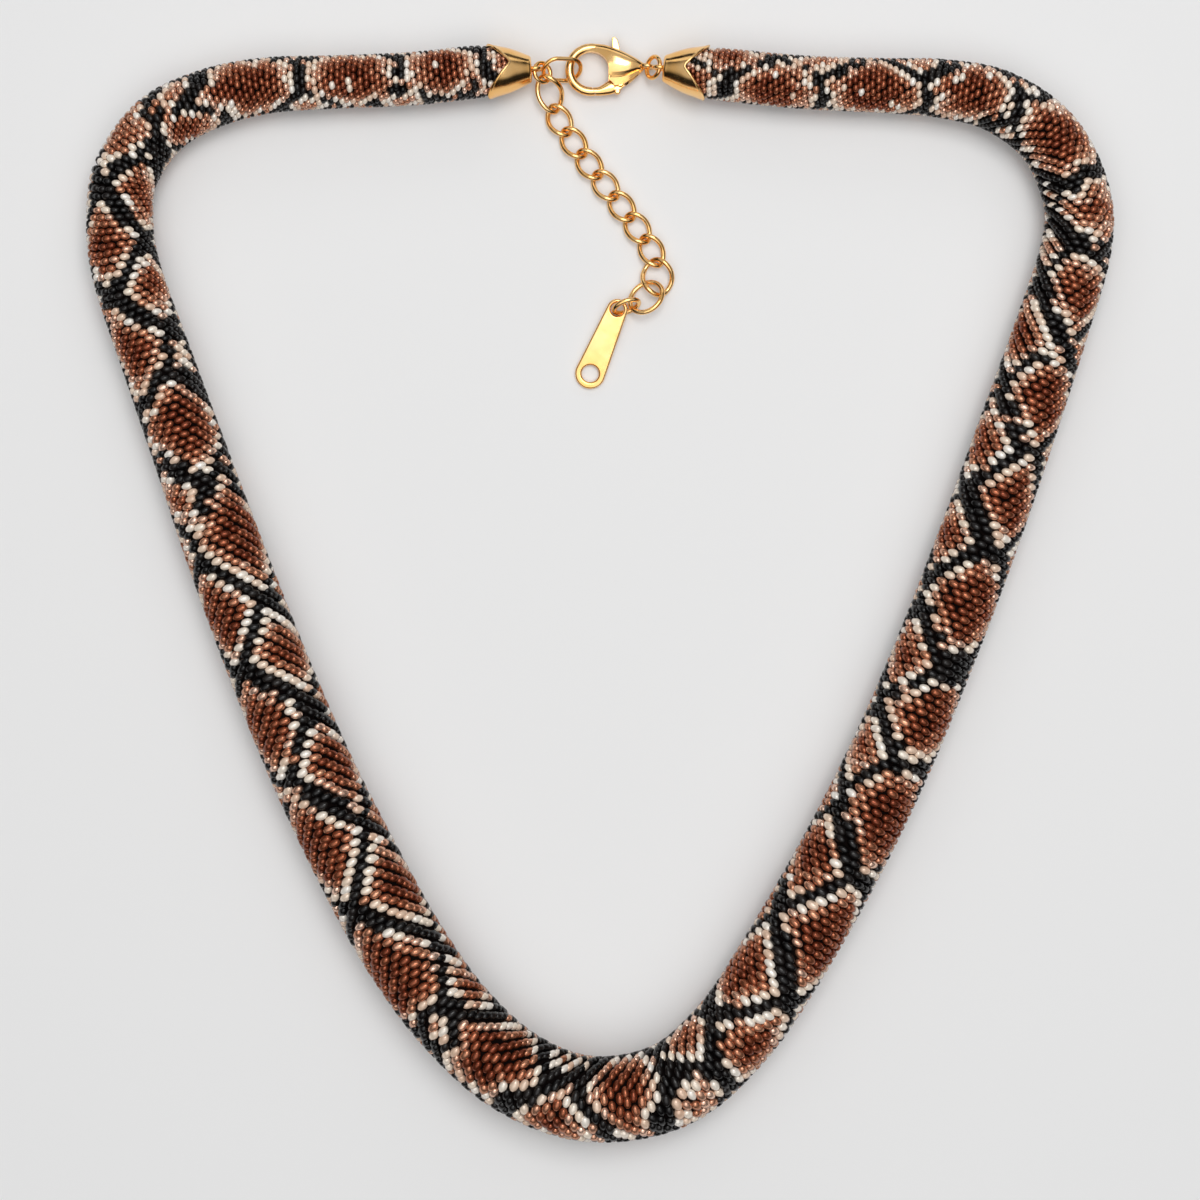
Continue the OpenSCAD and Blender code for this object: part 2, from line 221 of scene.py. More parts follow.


# The snake-skin pattern, charted: copper diamonds with a cream outline in a black
# net, each with a twin at the rope's back. A row gives a diamond's middle along the rope,
# its turn to the outside in degrees, and its half length and half width.
DIAMOND_CHART = [
    (-6, 10, 5, 60), (-2.5, -60, 3.5, 30), (7, 8, 5, 52), (13.5, -72, 3.2, 28),
    (20.5, -3, 5.6, 66), (27, -70, 3.2, 28), (37, -8, 6.4, 70), (46.5, 32, 4, 32),
    (46.5, -54, 5.5, 44), (56.5, 52, 5.8, 66), (61.5, -60, 6.5, 72), (70.5, 20, 6.2, 60),
    (78, -45, 5.2, 56), (87, 35, 6, 66), (89, -68, 4, 32), (100, -5, 6.6, 66),
    (109.5, 46, 5, 44), (118.5, -45, 7.2, 72), (128.5, 45, 8, 62), (136.5, -50, 6.8, 66),
    (145.3, 42, 7.6, 64), (155.5, -48, 7.2, 62), (165, 42, 8.5, 68), (175.5, -50, 7.6, 64),
    (185.5, 32, 8.2, 68), (195.5, -62, 6, 34), (196.5, 26, 3.2, 28), (205.3, -10, 7.2, 76),
    (217, 40, 6, 60), (216, -66, 4.4, 30), (227.5, -8, 6.8, 74), (235.5, 30, 5, 56),
    (240.5, -58, 5, 42), (247.5, 30, 6, 58), (255.5, -52, 7.2, 66), (266, 40, 8.6, 72),
    (275, -50, 7.6, 62), (285, 35, 8.6, 72), (293.5, -58, 6, 48), (300.8, 22, 7.2, 70),
    (308.5, -48, 5.8, 48), (309.5, 28, 2.2, 18), (319.5, 16, 7.2, 66), (328, -58, 6, 56),
    (335.5, 25, 6.8, 66), (343, -55, 6.4, 60), (351.5, 20, 7.2, 70), (360, -55, 6.8, 64),
    (368, 18, 6.8, 70), (374, -60, 4, 42), (380, 22, 5.6, 70), (384.5, -66, 3, 26),
    (391.5, 5, 6.8, 78), (399, 48, 3, 26), (399.5, -66, 3, 26), (406.5, -8, 6.2, 72),
    (414, 48, 3.5, 34), (421.5, -22, 7, 62), (428.5, 50, 4, 36), (436, -34, 6.4, 52),
    (444, 40, 5, 44), (450, -30, 6, 60)]
diamond_power, diamond_growth, nape_growth = 1.25, 1.34, 0.2
# The net is bolder where it leans with the turns than where it crosses them
bold_net_half, fine_net_half, nape_net_loss = 1.5, 1.0, 0.3
outline_mm, slim_r = 1.35, 5.1


def slimness(s):
    """1 at the nape, where the rope is slim and its pattern is speckled, and 0 down the arms."""
    return np.clip(slim_r - rope.radius(s), 0, 1)


def pattern_depth(s, angle):
    """How deep a bead lies inside its diamond, in millimetres, and below 0 in the net."""
    chart = np.array(DIAMOND_CHART, float)
    middle, turn, half_length, half_width = np.vstack([chart, chart + [0, 180, 0, 0]]).T
    away = (angle[:, None] - np.radians(turn) + math.pi) % (2 * math.pi) - math.pi
    reach = (np.abs((s[:, None] - middle) / half_length) ** diamond_power
             + np.abs(away / np.radians(half_width)) ** diamond_power) ** (1 / diamond_power)
    own, other = np.argsort(reach, axis=1)[:, :2].T
    nearest, second = np.sort(reach, axis=1)[:, :2].T
    round_step = (turn[other] - turn[own] + 180) % 360 - 180
    bold = (middle[other] - middle[own]) * round_step > 0
    net = np.where(bold, bold_net_half, fine_net_half) * (1 - nape_net_loss * slimness(s))
    growth = diamond_growth + nape_growth * slimness(s)
    return np.minimum((second - nearest) / 2 * half_length[own] - net,
                      (growth - nearest) * half_length[own])


bead_sides, bead_rings, bead_squareness = 8, 6, 3
# One bead from end to end: place along it, half width, half thickness
BEAD_RINGS = [(1, 0, 0.3), (0.84, 0.55, 0.78), (0.46, 0.91, 0.97), (0, 1, 1),
              (-0.46, 0.91, 0.97), (-0.84, 0.55, 0.78), (-1, 0, 0.3)]


def bead_template():
    """One bead, a unit long each way from its middle: a grain with full sides and rounded ends."""
    deselect_all()
    bpy.ops.mesh.primitive_uv_sphere_add(segments=bead_sides, ring_count=bead_rings, radius=1)
    bead = bpy.context.object
    co = np.array([v.co for v in bead.data.vertices])
    faces = [tuple(f.vertices) for f in bead.data.polygons]
    bpy.data.objects.remove(bead)
    ring = np.round(np.arccos(np.clip(co[:, 2], -1, 1)) / math.pi * bead_rings).astype(int)
    along_bead, width, thickness = np.array(BEAD_RINGS, float)[ring].T
    turn = np.arctan2(co[:, 1], co[:, 0]) + math.pi / bead_sides
    round_x, round_y = np.cos(turn), np.sin(turn)
    squared = (np.abs(round_x) ** bead_squareness
               + np.abs(round_y) ** bead_squareness) ** (-1 / bead_squareness)
    ends = np.hypot(co[:, 0], co[:, 1]) > 0.01
    return np.stack([round_x * squared * width, round_y * squared * thickness * ends,
                     along_bead], -1), faces


def rim_painted_shade(material, shader, inner, rim, start, end):
    """Paints shade on a colour's rim, darker where a bead turns away from view, standing in for
    its neighbours' shade.
    """
    nodes, links = material.node_tree.nodes, material.node_tree.links
    edge = nodes.new("ShaderNodeLayerWeight")
    edge.inputs["Blend"].default_value = 0.5
    band = nodes.new("ShaderNodeMapRange")
    band.inputs["From Min"].default_value = start
    band.inputs["From Max"].default_value = end
    links.new(edge.outputs["Facing"], band.inputs["Value"])
    # Painted shade: the rim colour is mixed over the bead's own colour
    painted_rims = nodes.new("ShaderNodeMix")
    painted_rims.data_type = "RGBA"
    painted_rims.inputs["B"].default_value = (*rim, 1)
    links.new(band.outputs["Result"], painted_rims.inputs["Factor"])
    links.new(inner, painted_rims.inputs["A"])
    links.new(painted_rims.outputs["Result"], shader.inputs["Base Color"])


rim_shade_full, bead_grain_scale, gloss_spread = 0.95, 2200, (0.7, 1.4)


def bead_material(name, tones, rim, rim_shade_from, metallic, roughness, gloss):
    """A lined glass bead: a tone of its own, a rim darkened with painted shade and a clear glossy
    surface.
    """
    material, shader = plain_material(name, tones[-1], metallic, roughness)
    nodes, links = material.node_tree.nodes, material.node_tree.links
    own = nodes.new("ShaderNodeAttribute")
    own.attribute_name = "bead_tone"
    ramp = nodes.new("ShaderNodeValToRGB")
    while len(ramp.color_ramp.elements) < len(tones):
        ramp.color_ramp.elements.new(0.5)
    for index, tone in enumerate(tones):
        ramp.color_ramp.elements[index].position = index / (len(tones) - 1)
        ramp.color_ramp.elements[index].color = (*tone, 1)
    links.new(own.outputs["Fac"], ramp.inputs["Fac"])
    rim_painted_shade(material, shader, ramp.outputs["Color"], rim, rim_shade_from, rim_shade_full)
    place = nodes.new("ShaderNodeTexCoord")
    grain = nodes.new("ShaderNodeTexNoise")
    grain.inputs["Scale"].default_value = bead_grain_scale
    links.new(place.outputs["Object"], grain.inputs["Vector"])
    spread = nodes.new("ShaderNodeMapRange")
    spread.inputs["To Min"].default_value = roughness * gloss_spread[0]
    spread.inputs["To Max"].default_value = roughness * gloss_spread[1]
    links.new(grain.outputs["Fac"], spread.inputs["Value"])
    links.new(spread.outputs["Result"], shader.inputs["Roughness"])
    ripple = nodes.new("ShaderNodeBump")
    ripple.inputs["Strength"].default_value = 0.3
    ripple.inputs["Distance"].default_value = 0.00006
    links.new(grain.outputs["Fac"], ripple.inputs["Height"])
    links.new(ripple.outputs["Normal"], shader.inputs["Normal"])
    shader.inputs["IOR"].default_value = gloss
    return material


# Each finish: tones, the painted shade at its rim and where it starts, metallic, roughness, index
BEAD_FINISHES = {
    "copper": bead_material("copper_lined_glass", [(0.2, 0.045, 0.018), (0.36, 0.11, 0.05),
                                                   (0.62, 0.29, 0.17), (0.92, 0.64, 0.5)],
                            (0.09, 0.022, 0.01), 0.5, 0.75, 0.24, 1.6),
    "cream": bead_material("cream_glass", [(0.82, 0.55, 0.39), (0.95, 0.81, 0.66),
                                           (0.98, 0.92, 0.84)],
                           (0.16, 0.05, 0.022), 0.52, 0.15, 0.2, 1.75),
    "black": bead_material("black_glass", [(0.002, 0.0015, 0.0015), (0.005, 0.004, 0.004),
                                           (0.014, 0.011, 0.01)],
                           (0.008, 0.005, 0.004), 0.7, 0.0, 0.2, 1.42)}


bead_seed = 11
bead_height, height_least, height_growth, full_r = 0.66, 0.55, 0.45, 6.5
lean_phase, bead_lean, lean_wobble = 5, 4, 6
place_wobble, angle_wobble, pattern_wobble, size_wobble = 0.05, 0.02, 0.15, 0.04
seat_height, round_fill, along_fill, crowding_limits = 0.5, 0.98, 1.1, (0.75, 1.18)
# Strays: cream in the net, more of it at the nape, copper in outlines, nape cream in copper
net_cream, nape_net_cream, outline_copper, nape_copper_cream = 0.04, 0.1, 0.18, 0.05
# Copper darkens from a diamond's edge to its middle, and each bead keeps a tone of its own
edge_shade, shade_mm, least_shade, depth_share, own_share = 1.05, 3.2, 0.2, 0.8, 0.4
copper, cream, black = range(3)


def bead_pieces():
    """All the beads, one mesh for each finish and half of the necklace."""
    shape, faces = bead_template()
    s, angle = lay_helix()
    rng = np.random.default_rng(bead_seed)
    count = len(s)
    wobble = rng.normal(0, 1, (count, 5))
    tone = rng.random(count)
    lead = turn_lean(s)
    s = s + lead * np.cos(angle + math.radians(lean_phase)) + wobble[:, 1] * place_wobble
    angle = angle + wobble[:, 2] * angle_wobble
    depth = pattern_depth(s, angle) + wobble[:, 0] * pattern_wobble
    kind = np.where(depth < 0, black, np.where(depth < outline_mm, cream, copper))
    stray = rng.random(count)
    kind[(kind == black) & (stray < net_cream + nape_net_cream * slimness(s))] = cream
    kind[(kind == cream) & (stray < outline_copper)] = copper
    kind[(kind == copper) & (stray > 1 - nape_copper_cream * slimness(s))] = cream
    shade = (np.clip(edge_shade - (depth - outline_mm) / shade_mm, least_shade, 1) * depth_share
             + own_share * (tone - 0.5))
    tone = np.where(kind == copper, np.clip(shade, 0, 1), tone)
    radius = rope.radius(s)
    height = bead_height * (height_least + height_growth * radius / full_r)
    reach = radius - height
    middle, ahead, outward = rope.place(s, angle, reach)
    around = np.cross(outward, ahead)
    crowding = np.clip(1 + rope.at(s, rope.bend) * reach * np.sin(angle), *crowding_limits)
    half_round = math.pi * (reach + seat_height) / beads_per_turn * round_fill
    half_along = turn_advance(radius) / 2 * crowding * along_fill
    slope = -lead * np.sin(angle + math.radians(lean_phase)) / radius
    lean = np.arctan(slope) + np.radians(bead_lean + wobble[:, 3] * lean_wobble)
    long_way = around * np.cos(lean)[:, None] + ahead * np.sin(lean)[:, None]
    short_way = ahead * np.cos(lean)[:, None] - around * np.sin(lean)[:, None]
    size = 1 + wobble[:, 4] * size_wobble
    points = (middle[:, None]
              + shape[None, :, 2, None] * (long_way * (half_round * size)[:, None])[:, None]
              + shape[None, :, 0, None] * (short_way * (half_along * size)[:, None])[:, None]
              + shape[None, :, 1, None] * (outward * height[:, None])[:, None])
    fits = (s > -cap_reach) & (s < rope.length + cap_reach)
    for number, (name, material) in enumerate(BEAD_FINISHES.items()):
        for side, chosen in (("left", middle[:, 0] < 0), ("right", middle[:, 0] >= 0)):
            keep = np.where((kind == number) & chosen & fits)[0]
            mesh = bpy.data.meshes.new(f"{name}_beads_{side}")
            offsets = (np.arange(len(keep)) * len(shape)).tolist()
            every_face = [tuple(v + o for v in face) for o in offsets for face in faces]
            mesh.from_pydata((points[keep].reshape(-1, 3) * mm).tolist(), [], every_face)
            tones = mesh.attributes.new("bead_tone", "FLOAT", "POINT")
            tones.data.foreach_set("value", np.repeat(tone[keep], len(shape)).astype(np.float32))
            mesh.shade_smooth()
            mesh.materials.append(material)
            piece = bpy.data.objects.new(mesh.name, mesh)
            bpy.context.collection.objects.link(piece)
            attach(piece, "necklace")


bead_pieces()


# The two end caps. Each is a cone of thin brass with two deep notches at its mouth,
# polished and gold plated, and glued over the rope's end. A small wire loop is soldered to
# its closed end.
cap_length, cap_mouth_r, cap_wall = 6.5, 4.15, 0.4
cap_hollow, hollow_end_r, rim_swell, rim_step = 4.3, 2.65, 0.02, 0.5
# The outside from the mouth to the closed end: place along the cap, radius
CAP_OUTSIDE = [(0, 4.15), (1.6, 3.73), (3.25, 3.305), (4.8, 2.68), (5.9, 2.18), (6.25, 2.02),
               (6.44, 1.8), (6.5, 1.55)]
notch_depth, notch_half_w, notch_tip_r = 3.3, 3.9, 0.7
CAPS = {"cap_left": ((-16.7, 77.6), 3, -14), "cap_right": ((16, 77.4), 174, 3)}
soldered_wire_r, soldered_loop_r, loop_out = 0.33, 0.85, 0.5


def effect_group(name, sockets):
    """An empty node group with the named inputs and outputs: (name, kind, way, value)."""
    group = bpy.data.node_groups.new(name, "ShaderNodeTree")
    for label, kind, way, value in sockets:
        socket = group.interface.new_socket(name=label, in_out=way, socket_type=kind)
        if value is not None:
            socket.default_value = value
    return group, group.nodes.new("NodeGroupInput"), group.nodes.new("NodeGroupOutput")


cloud_detail, cloud_range, buffing_lines = 4, (0.3, 0.7), (9000, 9000, 1500)


def polish_marks_group():
    """Soft cloudy wear and fine hairlines, as roughness and height."""
    group, given, out = effect_group("polish_marks", [
        ("Scale", "NodeSocketFloat", "INPUT", 900.0),
        ("Low", "NodeSocketFloat", "INPUT", 0.08),
        ("High", "NodeSocketFloat", "INPUT", 0.2),
        ("Roughness", "NodeSocketFloat", "OUTPUT", None),
        ("Height", "NodeSocketFloat", "OUTPUT", None)])
    nodes, links = group.nodes, group.links
    place = nodes.new("ShaderNodeTexCoord")
    clouds = nodes.new("ShaderNodeTexNoise")
    clouds.inputs["Detail"].default_value = cloud_detail
    links.new(place.outputs["Object"], clouds.inputs["Vector"])
    links.new(given.outputs["Scale"], clouds.inputs["Scale"])
    spread = nodes.new("ShaderNodeMapRange")
    spread.inputs["From Min"].default_value = cloud_range[0]
    spread.inputs["From Max"].default_value = cloud_range[1]
    links.new(clouds.outputs["Fac"], spread.inputs["Value"])
    links.new(given.outputs["Low"], spread.inputs["To Min"])
    links.new(given.outputs["High"], spread.inputs["To Max"])
    links.new(spread.outputs["Result"], out.inputs["Roughness"])
    stretch = nodes.new("ShaderNodeMapping")
    stretch.inputs["Scale"].default_value = buffing_lines
    links.new(place.outputs["Object"], stretch.inputs["Vector"])
    lines = nodes.new("ShaderNodeTexNoise")
    lines.inputs["Scale"].default_value = 1
    links.new(stretch.outputs["Vector"], lines.inputs["Vector"])
    links.new(lines.outputs["Fac"], out.inputs["Height"])
    return group


polish_marks = polish_marks_group()
gold_mean, gold_roughness, gold_tone_scale = (1.0, 0.7, 0.3), 0.12, 260
GOLD_TONES = [(0.35, (0.95, 0.53, 0.17)), (0.65, (1.0, 0.64, 0.28))]


def gold_material(name, scale, low, high, bump):
    """Gold plate whose tone shifts slowly over the piece."""
    material, shader = plain_material(name, gold_mean, 1.0, gold_roughness)
    nodes, links = material.node_tree.nodes, material.node_tree.links
    place = nodes.new("ShaderNodeTexCoord")
    tone = nodes.new("ShaderNodeTexNoise")
    tone.inputs["Scale"].default_value = gold_tone_scale
    links.new(place.outputs["Object"], tone.inputs["Vector"])
    ramp = nodes.new("ShaderNodeValToRGB")
    for element, (position, colour) in zip(ramp.color_ramp.elements, GOLD_TONES):
        element.position = position
        element.color = (*colour, 1)
    links.new(tone.outputs["Fac"], ramp.inputs["Fac"])
    links.new(ramp.outputs["Color"], shader.inputs["Base Color"])
    marks = nodes.new("ShaderNodeGroup")
    marks.node_tree = polish_marks
    marks.inputs["Scale"].default_value = scale
    marks.inputs["Low"].default_value = low
    marks.inputs["High"].default_value = high
    links.new(marks.outputs["Roughness"], shader.inputs["Roughness"])
    dents = nodes.new("ShaderNodeBump")
    dents.inputs["Strength"].default_value = bump
    dents.inputs["Distance"].default_value = 0.00002
    links.new(marks.outputs["Height"], dents.inputs["Height"])
    links.new(dents.outputs["Normal"], shader.inputs["Normal"])
    return material


cast_gold = gold_material("polished_cast_gold", 700, 0.1, 0.2, 0.25)
wire_gold = gold_material("drawn_wire_gold", 1400, 0.1, 0.18, 0.15)


def take_up(piece):
    """Makes one piece the only one selected, and the active one."""
    deselect_all()
    piece.select_set(True)
    bpy.context.view_layer.objects.active = piece


def shape_from(name, points, faces=(), edges=()):
    """A new piece from points in millimetres."""
    mesh = bpy.data.meshes.new(name)
    mesh.from_pydata((np.array(points, float) * mm).tolist(), list(edges), list(faces))
    piece = bpy.data.objects.new(name, mesh)
    bpy.context.collection.objects.link(piece)
    take_up(piece)
    return piece


def close_up(piece):
    """Merges the doubles and turns every face outwards."""
    take_up(piece)
    bpy.ops.object.mode_set(mode="EDIT")
    bpy.ops.mesh.select_all(action="SELECT")
    bpy.ops.mesh.remove_doubles(threshold=0.000004)
    bpy.ops.mesh.normals_make_consistent(inside=False)
    bpy.ops.object.mode_set(mode="OBJECT")


def cut_or_add(piece, tool, operation):
    """Cuts a tool out of a piece, or adds it, and throws the tool away."""
    take_up(piece)
    step = piece.modifiers.new("step", "BOOLEAN")
    step.operation = operation
    step.solver = "EXACT"
    step.object = tool
    bpy.ops.object.modifier_apply(modifier=step.name)
    bpy.data.objects.remove(tool)


def soften_edges(piece, width, angle=35, segments=2):
    """Rounds off the sharp edges, as tumbling and buffing do."""
    take_up(piece)
    edge = piece.modifiers.new("edge", "BEVEL")
    edge.width = width * mm
    edge.segments = segments
    edge.limit_method = "ANGLE"
    edge.angle_limit = math.radians(angle)
    edge.miter_outer = "MITER_ARC"
    bpy.ops.object.modifier_apply(modifier=edge.name)


def prism(name, outline, low, high):
    """An upright block over an outline in millimetres."""
    count = len(outline)
    points = [(x, y, z) for z in (low, high) for x, y in outline]
    walls = [(i, (i + 1) % count, count + (i + 1) % count, count + i) for i in range(count)]
    block = shape_from(name, points, walls + [tuple(range(count))[::-1],
                                              tuple(range(count, 2 * count))])
    close_up(block)
    return block


def fitting(piece, node, material, body="necklace", smooth=35):
    """Finishes a gold fitting: shading, metal, the solid it stands for and its body."""
    take_up(piece)
    bpy.ops.object.shade_smooth_by_angle(angle=math.radians(smooth))
    even = piece.modifiers.new("even", "WEIGHTED_NORMAL")
    even.keep_sharp = True
    bpy.ops.object.modifier_apply(modifier=even.name)
    piece.data.materials.clear()
    piece.data.materials.append(material)
    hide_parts(node)
    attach(piece, body)


def round_wire(name, points, radius, closed=True):
    """Round wire along its points in millimetres."""
    line = bpy.data.curves.new(name, "CURVE")
    line.dimensions = "3D"
    line.bevel_depth = radius * mm
    line.bevel_resolution = 6
    line.use_fill_caps = not closed
    spline = line.splines.new("POLY")
    spline.points.add(len(points) - 1)
    spline.points.foreach_set("co", [c for p in points for c in (*(np.array(p) * mm), 1.0)])
    spline.use_cyclic_u = closed
    wire = bpy.data.objects.new(name, line)
    bpy.context.collection.objects.link(wire)
    take_up(wire)
    bpy.ops.object.convert(target="MESH")
    wire = bpy.context.object
    close_up(wire)
    return wire


def join_to(piece, other):
    """Solders one piece to another, as one mesh."""
    deselect_all()
    other.select_set(True)
    piece.select_set(True)
    bpy.context.view_layer.objects.active = piece
    bpy.ops.object.join()


def edge_points(corners):
    """A row of points every half millimetre along straight runs."""
    row = []
    for (ax, ay), (bx, by) in zip(corners, corners[1:]):
        steps = max(1, round(math.hypot(bx - ax, by - ay) / rim_step))
        row += [(ax + (bx - ax) * i / steps, ay + (by - ay) * i / steps) for i in range(steps)]
    return row + [corners[-1]]


def end_cap(name, mouth, heading, roll):
    """One cap: a profile spun to a hollow cone, notched, buffed, with its loop."""
    turned = Matrix.Rotation(math.radians(heading), 3, "Z")
    middle = Vector((*mouth, cap_axis_z))

    def at(x, y, z):
        return middle + turned @ Vector((x, y, z))

    outer = smooth_route(CAP_OUTSIDE, 4)
    profile = [tuple(p) for p in outer]
    profile += [(cap_length, 0), (cap_hollow, 0), (cap_hollow, hollow_end_r),
                (0, cap_mouth_r - cap_wall)]
    pairs = [(i, (i + 1) % len(profile)) for i in range(len(profile))]
    edges = [(i, j) for i, j in pairs if profile[i][1] + profile[j][1] > 0]
    cone = shape_from(name + "_polished", [at(x, 0, r) for x, r in profile], edges=edges)
    bpy.ops.object.mode_set(mode="EDIT")
    bpy.ops.mesh.select_all(action="SELECT")
    bpy.ops.mesh.spin(steps=72, angle=2 * math.pi, center=middle * mm,
                      axis=turned @ Vector((1, 0, 0)))
    bpy.ops.object.mode_set(mode="OBJECT")
    close_up(cone)
    half_angle = math.atan(notch_half_w / notch_depth)
    wide = notch_half_w + math.tan(half_angle)
    tip = [(notch_depth - notch_tip_r + notch_tip_r * math.cos(a), notch_tip_r * math.sin(a))
           for a in np.linspace(-1, 1, 13) * (math.pi / 2 - half_angle)]
    outline = [(-1, wide), (-1, -wide)] + tip
    wedge = prism("notch_tool", outline, -9, 9)
    rolled = Matrix.Rotation(math.radians(roll), 3, "X")
    for vertex in wedge.data.vertices:
        vertex.co = at(*(rolled @ (vertex.co / mm))) * mm
    cut_or_add(cone, wedge, "DIFFERENCE")
    rim = []
    for side in (1, -1):
        edge = [(0, wide - (wide - tip[-1][1]) / (tip[-1][0] + 1))] + tip[::-1]
        edge = edge_points(edge + [(0, -edge[0][1])])
        for x, y in edge if side > 0 else edge[::-1]:
            middle_r = np.interp(x, outer[:, 0], outer[:, 1]) - cap_wall / 2
            height = math.sqrt(max(middle_r**2 - y * y, 0.25))
            rim.append(at(*(rolled @ Vector((x, y, side * height)))))
    join_to(cone, round_wire("rim", rim, cap_wall / 2 + rim_swell))
    turns = np.linspace(0, 2 * math.pi, 40, endpoint=False)
    loop = round_wire("loop", [at(cap_length + loop_out + soldered_loop_r * math.cos(a), 0,
                                  soldered_loop_r * math.sin(a)) for a in turns], soldered_wire_r)
    join_to(cone, loop)
    fitting(cone, name, cast_gold)


for name, (mouth, heading, roll) in CAPS.items():
    end_cap(name, mouth, heading, roll)


# The jump rings and the hook's long link. Each is a length of round gold-plated brass wire
# bent round a former, and closed with its ends butted, which leaves a hairline joint.
hairline, ring_wire_r = 0.05, 0.33
clasp_middle = Vector((-1.25, 78.35, 1.6))
tail_loop = clasp_middle + Vector((7.95 + loop_out, 0.5, 0))


def set_down(points, place, turn):
    """Turns flat points by heading, pitch and roll in degrees, and puts them in place."""
    heading, pitch, roll = (math.radians(v) for v in turn)
    turned = (Matrix.Rotation(heading, 3, "Z") @ Matrix.Rotation(pitch, 3, "Y")
              @ Matrix.Rotation(roll, 3, "X"))
    return [Vector(place) + turned @ Vector(p) for p in points]


def cut_open(start, size):
    """Turns round a link from one side of its joint to the other."""
    gap = hairline / size
    return np.linspace(start + gap / 2, start + 2 * math.pi - gap / 2, 73)


def jump_ring(name, radius, place, turn, joint):
    """A round ring, its joint at an angle in radians."""
    points = [(radius * math.cos(a), radius * math.sin(a), 0) for a in cut_open(joint, radius)]
    ring = round_wire(name + "_wire", set_down(points, place, turn), ring_wire_r, closed=False)
    fitting(ring, name, wire_gold)


jump_ring("nape_ring", 1.45, (-8.6, 77.6, 3.4), (5, 36, 0), math.radians(-120))
mouth, heading = CAPS["cap_right"][:2]
out_to_loop = Vector((cap_length + loop_out, 0, 0))
cap_loop = (Vector((*mouth, cap_axis_z))
            + Matrix.Rotation(math.radians(heading), 3, "Z") @ out_to_loop)
jump_ring("tail_ring", 1.6, (cap_loop + tail_loop) / 2, (-25, -52, 16), math.radians(100))

long_half, wide_half = 2.95, 1.95
bow = np.linspace(-math.pi / 2, math.pi / 2, 22)
straight = long_half - wide_half
side_a = [(straight + wide_half * math.cos(a), wide_half * math.sin(a), 0) for a in bow]
side_b = [(-straight - wide_half * math.cos(a), -wide_half * math.sin(a), 0) for a in bow]
joint_b = [(-hairline / 2, -wide_half, 0)]
joint_a = [(hairline / 2, -wide_half, 0)]
link_points = set_down(joint_a + side_a + side_b + joint_b, (-5.65, 78.25, 2.3), (2, 21, 45))
long_link = round_wire("hook_link_wire", link_points, ring_wire_r, closed=False)
fitting(long_link, "hook_link", wire_gold)


# The extension chain: eight curb links, a rounder one, and the ring and small link that
# hold the tag. Each is an oval of thicker wire, its two ends twisted opposite ways so that
# the chain lies flat, and its ends are butted and soldered at one side.
chain_wire_r = 0.38
link_half = (2.48, 1.66)
link_twist, link_pitch = -40, 4.03
chain_start, chain_z = (-6.05, 70.75), 0.94
CHAIN_HEADS = [-60, -55, -53, -52, -53, -55, -61]
CHAIN_JOINTS = [80, -95, 95, 85, -80, 95, -95]


def curb_link(name, half, twist, place, turn, joint):
    """An oval link from its half sizes and twist, its joint at an angle in degrees."""
    points = []
    for a in cut_open(math.radians(joint), half[0]):
        lean = math.radians(twist * math.cos(a))
        points.append((half[0] * math.cos(a), half[1] * math.sin(a) * math.cos(lean),
                       half[1] * math.sin(a) * math.sin(lean)))
    link = round_wire(name + "_wire", set_down(points, place, turn), chain_wire_r, closed=False)
    fitting(link, name, wire_gold)


curb_link("chain_link_1", (2.9, 1.78), link_twist - 2, (-7.47, 74.62, 2.12), (-70, 26, 0), 95)
x, y = chain_start
for number, heading in enumerate(CHAIN_HEADS):
    if number:
        x += link_pitch / 2 * (math.cos(math.radians(CHAIN_HEADS[number - 1]))
                               + math.cos(math.radians(heading)))
        y += link_pitch / 2 * (math.sin(math.radians(CHAIN_HEADS[number - 1]))
                               + math.sin(math.radians(heading)))
    curb_link(f"chain_link_{number + 2}", link_half, link_twist, (x, y, chain_z), (heading, 0, 0),
              CHAIN_JOINTS[number])
curb_link("round_link", (2.71, 2.22), link_twist + 2, (8.78, 47.0, 1.12), (-83, 0, 0), -70)
curb_link("end_ring", (2.7, 2.37), 0, (7.07, 43.93, 1.58), (-134, -5, 30), -130)
curb_link("tag_link", (1.95, 1.35), 0, (4.07, 42.57, 1.5), (-160, 4, -58), 90)


# The tag: a flat drop stamped from brass sheet, its edges rounded over, gold plated and
# polished. The small link holds its narrow end, and the wide end has an open hole.
tag_middle, tag_heading, tag_rise = (-1.4, 32.5, 0.18), 67, 4
tag_gap, tag_wide_r, tag_narrow_r = 10.5, 2.3, 1.6
tag_hole_r, tag_eye_r, tag_thickness, tag_edge = 1.3, 1.0, 0.7, 0.3


def sheet_piece(name, outlines, thickness, edge):
    """A flat piece cut from sheet: outlines in millimetres, the first the outside."""
    flat = bpy.data.curves.new(name, "CURVE")
    flat.dimensions = "2D"
    flat.fill_mode = "BOTH"
    flat.extrude = (thickness / 2 - edge) * mm
    flat.bevel_depth = edge * mm
    flat.bevel_resolution = 4
    flat.offset = -edge * mm
    for outline in outlines:
        spline = flat.splines.new("POLY")
        spline.points.add(len(outline) - 1)
        spline.points.foreach_set("co", [c for x, y in outline for c in (x * mm, y * mm, 0, 1)])
        spline.use_cyclic_u = True
    piece = bpy.data.objects.new(name, flat)
    bpy.context.collection.objects.link(piece)
    take_up(piece)
    bpy.ops.object.convert(target="MESH")
    piece = bpy.context.object
    close_up(piece)
    return piece


def ring_of(middle, radius, steps, start=0.0, end=2 * math.pi):
    """Points on a circle, or on an arc with both its ends."""
    turns = np.linspace(start, end, steps, endpoint=end - start < 2 * math.pi)
    return [(middle[0] + radius * math.cos(a), middle[1] + radius * math.sin(a)) for a in turns]


